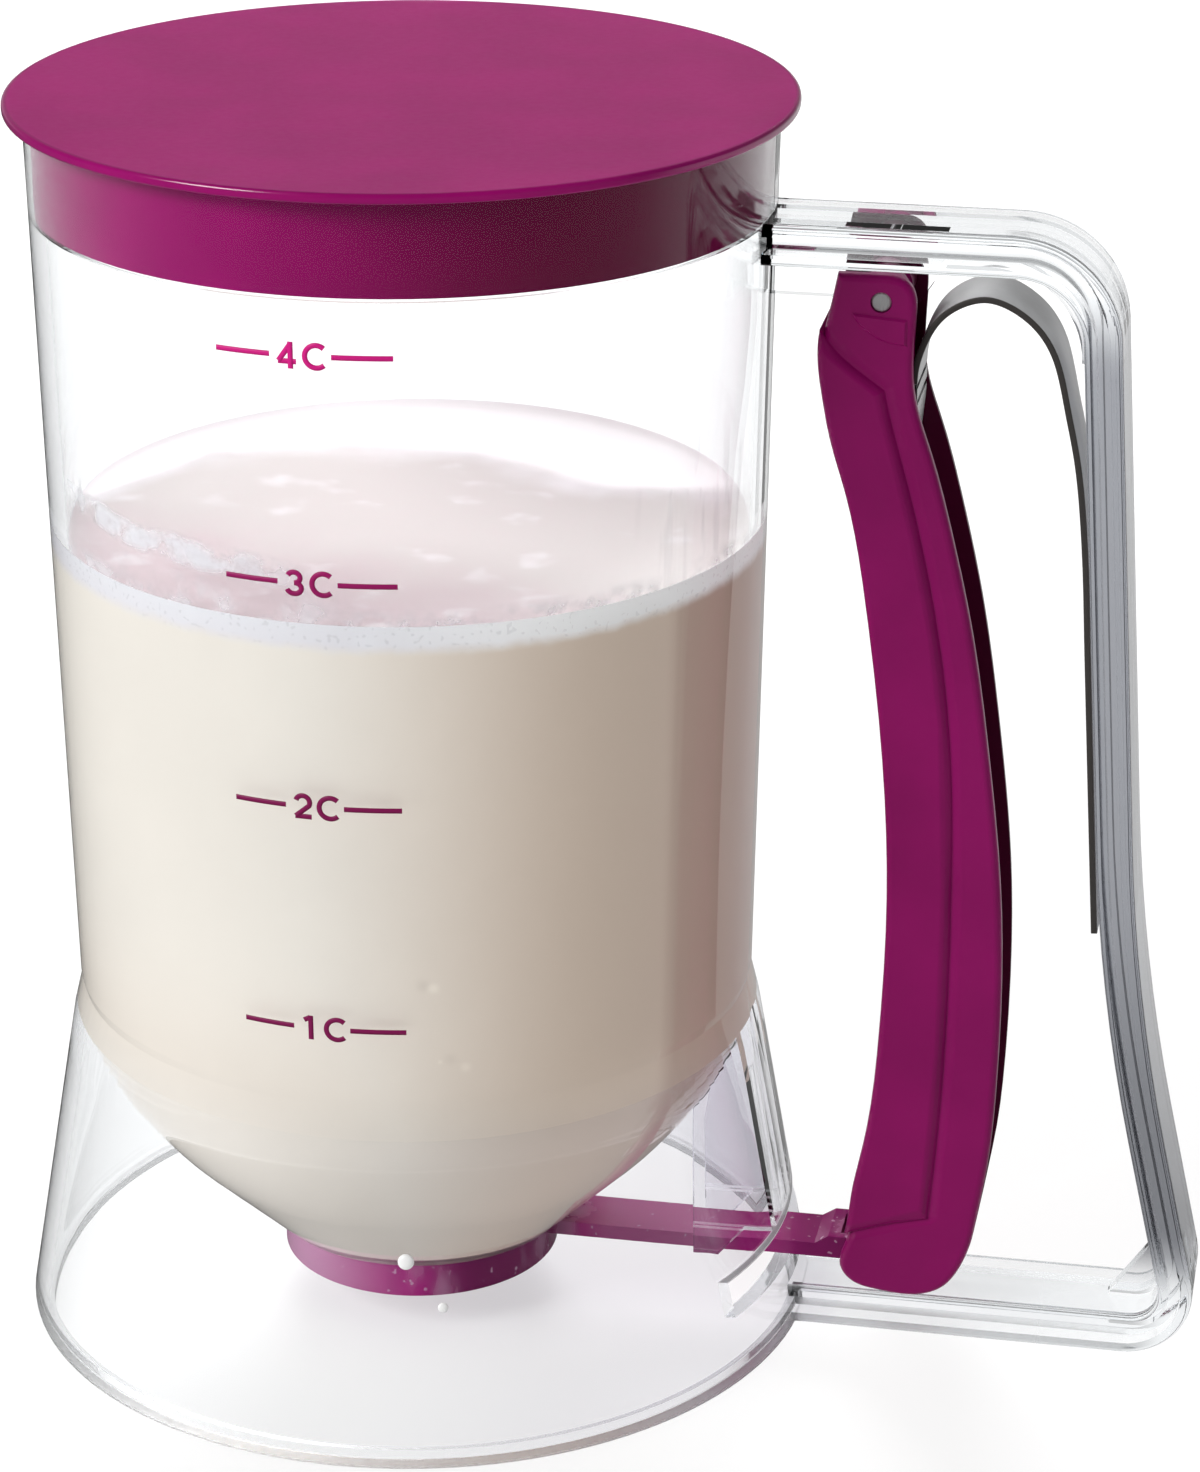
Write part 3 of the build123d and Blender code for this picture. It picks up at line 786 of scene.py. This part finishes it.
class DISPENSER_OT_plum_parts(bpy.types.Operator):
    """Finish the lid and the lever in plum plastic"""
    bl_idname = "dispenser.plum_parts"
    bl_label = "Lid and lever"

    def execute(self, context):
        colours = context.scene.dispenser_colours
        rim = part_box("lid")[1].x - 0.5 * MM
        lid = plum_plastic("plum lid", colours.lid, shine=0.07, rim=rim, band_top=RIM_Z - 0.2 * MM)
        lever = plum_plastic("plum lever", colours.lever, shine=0.25, panel_edge=PANEL_EDGE)
        for name, material in (("lid", lid), ("trigger_lever", lever)):
            paint(NODES[name], material)
        return {"FINISHED"}


class DISPENSER_OT_valve(bpy.types.Operator):
    """Finish the valve slide in tinted plastic"""
    bl_idname = "dispenser.valve"
    bl_label = "Valve"

    def execute(self, context):
        paint(NODES["valve_slide"], valve_plastic(context.scene.dispenser_colours))
        return {"FINISHED"}


class DISPENSER_OT_pin(bpy.types.Operator):
    """Finish the pivot pin in steel"""
    bl_idname = "dispenser.pin"
    bl_label = "Pivot pin"

    def execute(self, context):
        paint(NODES["pivot_pin"], steel(context.scene.dispenser_colours, "pin steel", roughness=0.2))
        return {"FINISHED"}


# Middle line of the strip in the XZ plane, in millimetres, from the lever's channel over the arch to the tip.
STRIP_LINE = [(69.4, 119.0), (70.6, 130.0), (71.7, 141.0), (72.1, 149.0), (75.2, 155.5), (80.9, 158.3),
              (86.6, 156.1), (90.6, 151.0), (93.0, 142.0), (94.7, 133.5), (95.92, 122.0), (96.83, 107.8),
              (97.85, 91.9), (98.66, 79.3), (99.48, 66.5)]
STRIP_STEPS = 10  # between two points of the line
EDGE_ROUNDING = 0.00016


class DISPENSER_OT_spring(bpy.types.Operator):
    """Sweep the spring's flat strip along its line, between lever and handle"""
    bl_idname = "dispenser.spring"
    bl_label = "Return spring"

    def execute(self, context):
        settings = context.scene.dispenser_spring
        sizes = {"Width": settings.width, "Thickness": settings.thickness, "Edge rounding": EDGE_ROUNDING}
        tree, inputs = new_tree("spring strip", sizes)
        curve = make_node(tree, "GeometryNodeMeshToCurve", None, 0, {"Mesh": inputs["Geometry"]})
        curve = make_node(tree, "GeometryNodeCurveSplineType", {"spline_type": "CATMULL_ROM"}, 0,
                          {"Curve": curve})
        curve = make_node(tree, "GeometryNodeSetSplineResolution", None, 0, {0: curve, 2: STRIP_STEPS})
        bar = strip_along(tree, curve, inputs["Width"], inputs["Thickness"], inputs["Edge rounding"])
        finish = steel(context.scene.dispenser_colours, "spring steel", 0.34, half_width=settings.width / 2)
        close_tree(tree, bar, finish)
        line = line_mesh("strip line", [[(x * MM, 0, z * MM) for x, z in STRIP_LINE]])
        strip = grow("spring_strip", line, tree, sizes)
        sharp_by_angle(strip, degrees=30)
        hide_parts("return_spring")
        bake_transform(strip)
        return {"FINISHED"}


def arc(cx, cy, rx, ry, start, end, steps):
    """Points on an ellipse, by angles in degrees."""
    turns = [math.radians(start + (end - start) * i / steps) for i in range(steps + 1)]
    return [(cx + rx * math.cos(turn), cy + ry * math.sin(turn)) for turn in turns]


# Strokes of the figures, in shares of the cap height, on a common base line.
FIGURES = {
    "1": [[(0.10, 0.80), (0.34, 0.93)], [(0.36, 0.0), (0.36, 1.0)]],
    "2": [arc(0.35, 0.66, 0.27, 0.27, 165, -28, 14) + [(0.06, 0.09)], [(0.04, 0.09), (0.68, 0.09)]],
    "3": [arc(0.31, 0.70, 0.24, 0.21, 160, -88, 12), arc(0.31, 0.29, 0.28, 0.22, 88, -165, 14)],
    "4": [[(0.47, 0.0), (0.47, 1.0)], [(0.50, 0.95), (0.02, 0.27)], [(0.0, 0.27), (0.68, 0.27)]],
    "C": [arc(0.50, 0.5, 0.42, 0.42, 48, 312, 26)],
}
CUP_MARKS = [("1", 0.0634), ("2", 0.0965), ("3", 0.1285), ("4", 0.1597)]  # figure, and height
DASHES = ((-13.5, -5.1), (4.1, 13.0))  # degrees round the hopper, from the marks' middle
GLYPHS_AT = (-3.8, -0.1)  # left sides of the figure and the C, likewise
DASH_STEPS = 8
INK_GAP = 0.00002


class DISPENSER_OT_marks(bpy.types.Operator):
    """Lay the cup marks on the hopper's wall"""
    bl_idname = "dispenser.marks"
    bl_label = "Cup marks"

    def execute(self, context):
        settings = context.scene.dispenser_marks
        cap = settings.cap_height
        strokes = []
        for figure, z in CUP_MARKS:
            radius = hopper_radius(z)
            for low, high in DASHES:
                turns = [low + (high - low) * i / DASH_STEPS for i in range(DASH_STEPS + 1)]
                strokes.append([(math.radians(turn) * radius, z, 0) for turn in turns])
            for glyph, left in zip((figure, "C"), GLYPHS_AT):
                at = math.radians(left) * radius
                for stroke in FIGURES[glyph]:
                    strokes.append([(at + u * cap, z + (v - 0.5) * cap, 0) for u, v in stroke])

        values = {"Stroke width": settings.stroke, "Ink thickness": settings.proud, "Side": settings.side}
        tree, inputs = new_tree("cup marks", values)
        curve = make_node(tree, "GeometryNodeMeshToCurve", None, 0, {"Mesh": inputs["Geometry"]})
        bars = strip_along(tree, curve, inputs["Stroke width"], inputs["Ink thickness"], None)
        along, up, out = split(tree, make_node(tree, "GeometryNodeInputPosition"))
        wall = hopper_radius(up)
        reach = wall + out + inputs["Ink thickness"] * 0.5 + INK_GAP
        turn = along / wall + inputs["Side"]
        spot_on = make_node(tree, "ShaderNodeCombineXYZ", None, 0,
                            {0: reach * turn.maths("COSINE"), 1: reach * turn.maths("SINE"), 2: up})
        wrapped = make_node(tree, "GeometryNodeSetPosition", None, 0, {"Geometry": bars, "Position": spot_on})
        close_tree(tree, wrapped, ink(context.scene.dispenser_colours))
        marks = grow("cup_marks", line_mesh("mark strokes", strokes), tree, values)
        marks.visible_shadow = False
        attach(marks, "container")
        return {"FINISHED"}


# Inside of the hopper's lower end: radius and height of the funnel's floor and of its cone's top.
FUNNEL_FLOOR = (21.45 * MM, 14.7 * MM)
CONE_TOP = (33.86 * MM, 27.11 * MM)
OUTLET_RADIUS, OUTLET_LOW = 0.0090, 0.01235
BITE = 0.00006  # how far the batter reaches into the wall that it wets
DISC_GAP = 0.0001
MENISCUS = ((0.0006, 0.0003), (0.0016, 0.0008)) # in from the wall, and down from the level
SURFACE_DROP = 0.0010
FILM_HEIGHT, FILM_GAP = 0.024, 0.00004
FILM_ROUND = (-175, -5)  # degrees round the axis
ROUNDS, FILM_ROUNDS, BEND_STEPS, RISE_STEPS = 160, 72, 16, 12


def turned(outline, rounds, first=0.0, last=FULL_TURN):
    """Vertices and faces of an outline of radius and height turned about the axis."""
    whole = last - first > FULL_TURN - 0.001
    columns = rounds if whole else rounds + 1
    turns = [first + (last - first) * k / rounds for k in range(columns)]
    vertices = [(r * math.cos(turn), r * math.sin(turn), z) for r, z in outline for turn in turns]
    faces = []
    for i in range(len(outline) - 1):
        for k in range(rounds):
            a, b = i * columns + k, i * columns + (k + 1) % columns
            faces.append((a, b, b + columns, a + columns))
    return vertices, faces


class DISPENSER_OT_batter(bpy.types.Operator):
    """Fill the hopper with batter up to its level"""
    bl_idname = "dispenser.batter"
    bl_label = "Batter"

    def execute(self, context):
        batter = context.scene.dispenser_batter
        outline = self.outlet() + self.bend() + self.cylinder(batter.level) + self.top(batter.level)
        fill = new_piece("batter_fill", *turned(outline, ROUNDS), batter_mix(batter))
        sharp_by_angle(fill, degrees=40)
        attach(fill, "container")

        heights = [batter.level + FILM_HEIGHT * i / RISE_STEPS for i in range(RISE_STEPS + 1)]
        skin = [(hopper_radius(z) - WALL - FILM_GAP, z) for z in heights]
        sheet = turned(skin, FILM_ROUNDS, *(math.radians(v) for v in FILM_ROUND))
        film = new_piece("batter_film", *sheet, film_finish(batter))
        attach(film, "container")
        return {"FINISHED"}

    def outlet(self):
        """From the axis, over the valve's disc, up the outlet and out to the funnel's cone."""
        bore = OUTLET_RADIUS + BITE
        above_disc = DISC_TOP + DISC_GAP
        floor_radius, floor_z = FUNNEL_FLOOR
        return [(0.0, above_disc), (OUTLET_RADIUS - DISC_GAP, above_disc), (bore, OUTLET_LOW),
                (bore, floor_z - BITE), (floor_radius + BITE, floor_z - BITE)]

    def bend(self):
        """The arc that leaves the cone at 45 degrees and ends at the waist."""
        start = Vector(CONE_TOP)
        end = Vector((WAIST_RADIUS - WALL, WAIST_Z))
        tangent = Vector((1, 1)).normalized()
        normal = Vector((-tangent.y, tangent.x))
        chord = end - start
        radius = chord.length_squared / (2 * chord.dot(normal))
        centre = start + normal * radius
        first = math.atan2(start.y - centre.y, start.x - centre.x)
        last = math.atan2(end.y - centre.y, end.x - centre.x)
        turns = [first + (last - first) * i / BEND_STEPS for i in range(BEND_STEPS + 1)]
        reach = radius + BITE
        return [(centre.x + reach * math.cos(turn), centre.y + reach * math.sin(turn)) for turn in turns]

    def cylinder(self, level):
        """The wall above the waist."""
        heights = [WAIST_Z + (level - WAIST_Z) * i / RISE_STEPS for i in range(1, RISE_STEPS + 1)]
        return [(hopper_radius(z) - WALL + BITE, z) for z in heights]

    def top(self, level):
        """The surface, which climbs a little at the wall."""
        radius = hopper_radius(level) - WALL + BITE
        rising = [(radius - inward, level - down) for inward, down in MENISCUS]
        return rising + [(radius * share, level - SURFACE_DROP) for share in (0.7, 0.35, 0.0)]


# Drops on the outside of the skirt: place and radius in millimetres, and how flat they lie.
DROPS = (((10.1, -52.3, 30.0), 1.15, 0.45), ((15.3, -52.3, 23.3), 0.75, 0.45))


class DISPENSER_OT_drops(bpy.types.Operator):
    """Leave a few drops of batter on the skirt"""
    bl_idname = "dispenser.drops"
    bl_label = "Drops"

    def execute(self, context):
        finish = plain_finish("batter drop", context.scene.dispenser_batter.froth, roughness=0.3)
        shape = merged_copy("base_skirt")
        skirt = BVHTree.FromBMesh(shape)
        shape.free()
        work = bmesh.new()
        for centre, radius, flat in DROPS:
            spot_on, normal, _, _ = skirt.find_nearest(Vector(centre) * MM)
            ball = bmesh.ops.create_icosphere(work, subdivisions=3, radius=radius * MM)
            turn = normal.to_track_quat("Z", "Y").to_matrix()
            for vertex in ball["verts"]:
                vertex.co = spot_on + turn @ Vector((vertex.co.x, vertex.co.y, vertex.co.z * flat))
        mesh = bpy.data.meshes.new("batter_drops")
        work.to_mesh(mesh)
        work.free()
        mesh.shade_smooth()
        drops = add_object("batter_drops", mesh)
        paint(drops, finish)
        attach(drops, "container")
        return {"FINISHED"}


# Name, place, size and watts of a lamp, and whether a gloss mirrors it. All of them aim at one point.
LAMPS = (("key lamp", (-0.95, -0.95, 0.95), 0.7, 20.0, True),
         ("fill lamp", (1.15, -0.55, 0.75), 0.6, 1.5, False),
         ("back lamp", (-0.25, 1.15, 0.62), 0.7, 25.0, False))
LAMP_AIM = Vector((0.02, 0, 0.09))


# Strengths of the floor's and room's glow, and the floor's shares that glow; fill only lights other things.
FLOOR_GLOW, FLOOR_FILL = 1.06, 0.85
FLOOR_SHARE, FLOOR_FILL_SHARE = 0.75, 0.65
ROOM_FILL = 0.17
FLOOR_HALF, FLOOR_Z = 4.0, -0.0002
CAMERA_YAW, CAMERA_PITCH = 2.64, 22.35  # degrees to the right of the axis, and down


class DISPENSER_OT_stage(bpy.types.Operator):
    """Pale floor, soft light and the camera"""
    bl_idname = "dispenser.stage"
    bl_label = "Stage"

    def execute(self, context):
        scene = context.scene
        scene.view_settings.view_transform = "Standard"
        self.light_room(scene)
        self.lay_floor()
        for name, at, size, power, shines in LAMPS:
            lamp = bpy.data.lights.new(name, "AREA")
            lamp.shape = "DISK"
            lamp.size = size
            lamp.energy = power
            obj = add_object(name, lamp)
            obj.visible_glossy = shines
            obj.visible_transmission = False
            obj.location = at
            obj.rotation_euler = (LAMP_AIM - Vector(at)).to_track_quat("-Z", "Y").to_euler()
        self.set_camera(scene, scene.dispenser_stage)
        return {"FINISHED"}

    def light_room(self, scene):
        """White at the horizon; what a gloss or a clear edge picks up from higher is darker."""
        world = bpy.data.worlds.new("studio")
        scene.world = world
        world.use_nodes = True
        tree = world.node_tree
        tree.nodes.clear()
        side, behind, height = split(tree, make_node(tree, "ShaderNodeTexCoord"))
        seen, through, mirrored = ray_kinds(tree)
        overhead = height.between(0.08, 0.70) * 0.5
        beside = side.maths("ABSOLUTE").between(0.45, 0.95) * 0.4
        refracted = (1 - overhead) * (1 - beside)
        gloss = behind.between(0.3, 0.8) * (0.38 - height.between(0.0, 0.3) * 0.32) + 0.05
        plain = 1 - seen.most(through).most(mirrored)
        strength = seen + through * (1 - seen) * refracted + mirrored * gloss + plain * ROOM_FILL
        shader = make_node(tree, "ShaderNodeBackground", None, 0, {"Color": WHITE, "Strength": strength})
        output = tree.nodes.new("ShaderNodeOutputWorld")
        tree.links.new(shader.socket, output.inputs[0])

    def lay_floor(self):
        """White where it is far off; under the skirt more of it takes the shadows."""
        material, tree = new_material("pale floor")
        seen, through, mirrored = ray_kinds(tree)
        _, (x, y, _) = place(tree)
        mirror = y.between(-0.08, 0.12) * x.between(-0.10, 0.15) * 0.6 + 0.06
        matt = make_node(tree, "ShaderNodeBsdfDiffuse", None, 0, {"Color": (0.9, 0.9, 0.9)})
        plain = 1 - seen.most(through).most(mirrored)
        strength = seen.most(through) * FLOOR_GLOW + mirrored * mirror + plain * FLOOR_FILL
        glow = make_node(tree, "ShaderNodeEmission", None, 0, {"Color": WHITE, "Strength": strength})
        reach = x.length_with(y)
        steady = reach.between(0.35, 1.2) * 0.25 - reach.between(0.062, 0.050) * 0.18 + FLOOR_SHARE
        share = seen.most(through) * steady + mirrored + plain * FLOOR_FILL_SHARE
        surface(tree, mix_shaders(tree, share, matt, glow))
        corners = [(u * FLOOR_HALF, v * FLOOR_HALF, FLOOR_Z) for u, v in ((-1, -1), (1, -1), (1, 1), (-1, 1))]
        floor = new_piece("floor", corners, [(0, 1, 2, 3)], material, smooth=False)

    def set_camera(self, scene, stage):
        yaw, pitch = math.radians(CAMERA_YAW), math.radians(CAMERA_PITCH)
        turn = stage.turn
        ahead = Vector((-math.sin(turn), math.cos(turn), 0))
        right = Vector((math.cos(turn), math.sin(turn), 0))
        level = ahead * math.cos(yaw) + right * math.sin(yaw)
        look = level * math.cos(pitch) + Vector((0, 0, -math.sin(pitch)))
        data = bpy.data.cameras.new("camera")
        data.lens = stage.lens
        data.sensor_width = 36.0
        data.sensor_fit = "AUTO"
        data.clip_start = 0.01
        data.clip_end = 50.0
        camera = add_object("camera", data)
        camera.location = (math.sin(turn) * stage.distance, -math.cos(turn) * stage.distance, stage.height)
        camera.rotation_mode = "QUATERNION"
        camera.rotation_quaternion = look.to_track_quat("-Z", "Y")
        scene.camera = camera


class DISPENSER_PT_panel(bpy.types.Panel):
    """The dispenser's pieces"""
    bl_idname = "DISPENSER_PT_panel"
    bl_label = "Batter dispenser"
    bl_space_type = "VIEW_3D"
    bl_region_type = "UI"
    bl_category = "Dispenser"

    def draw(self, context):
        for operator in OPERATORS:
            self.layout.operator(operator.bl_idname)


SETTINGS = (
    ("dispenser_colours", DispenserColours),
    ("dispenser_batter", BatterSettings),
    ("dispenser_marks", MarkSettings),
    ("dispenser_spring", SpringSettings),
    ("dispenser_stage", StageSettings),
)
OPERATORS = (
    DISPENSER_OT_clear_parts,
    DISPENSER_OT_plum_parts,
    DISPENSER_OT_valve,
    DISPENSER_OT_pin,
    DISPENSER_OT_spring,
    DISPENSER_OT_marks,
    DISPENSER_OT_batter,
    DISPENSER_OT_drops,
    DISPENSER_OT_stage,
)


def register():
    for name, group in SETTINGS:
        bpy.utils.register_class(group)
        setattr(bpy.types.Scene, name, bpy.props.PointerProperty(type=group))
    for cls in (*OPERATORS, DISPENSER_PT_panel):
        bpy.utils.register_class(cls)


def unregister():
    for cls in (DISPENSER_PT_panel, *reversed(OPERATORS)):
        bpy.utils.unregister_class(cls)
    for name, group in reversed(SETTINGS):
        delattr(bpy.types.Scene, name)
        bpy.utils.unregister_class(group)


def main():
    register()
    bpy.ops.dispenser.clear_parts()
    bpy.ops.dispenser.plum_parts()
    bpy.ops.dispenser.valve()
    bpy.ops.dispenser.pin()
    bpy.ops.dispenser.spring()
    bpy.ops.dispenser.marks()
    bpy.ops.dispenser.batter()
    bpy.ops.dispenser.drops()
    bpy.ops.dispenser.stage()


if __name__ == "__main__":
    main()
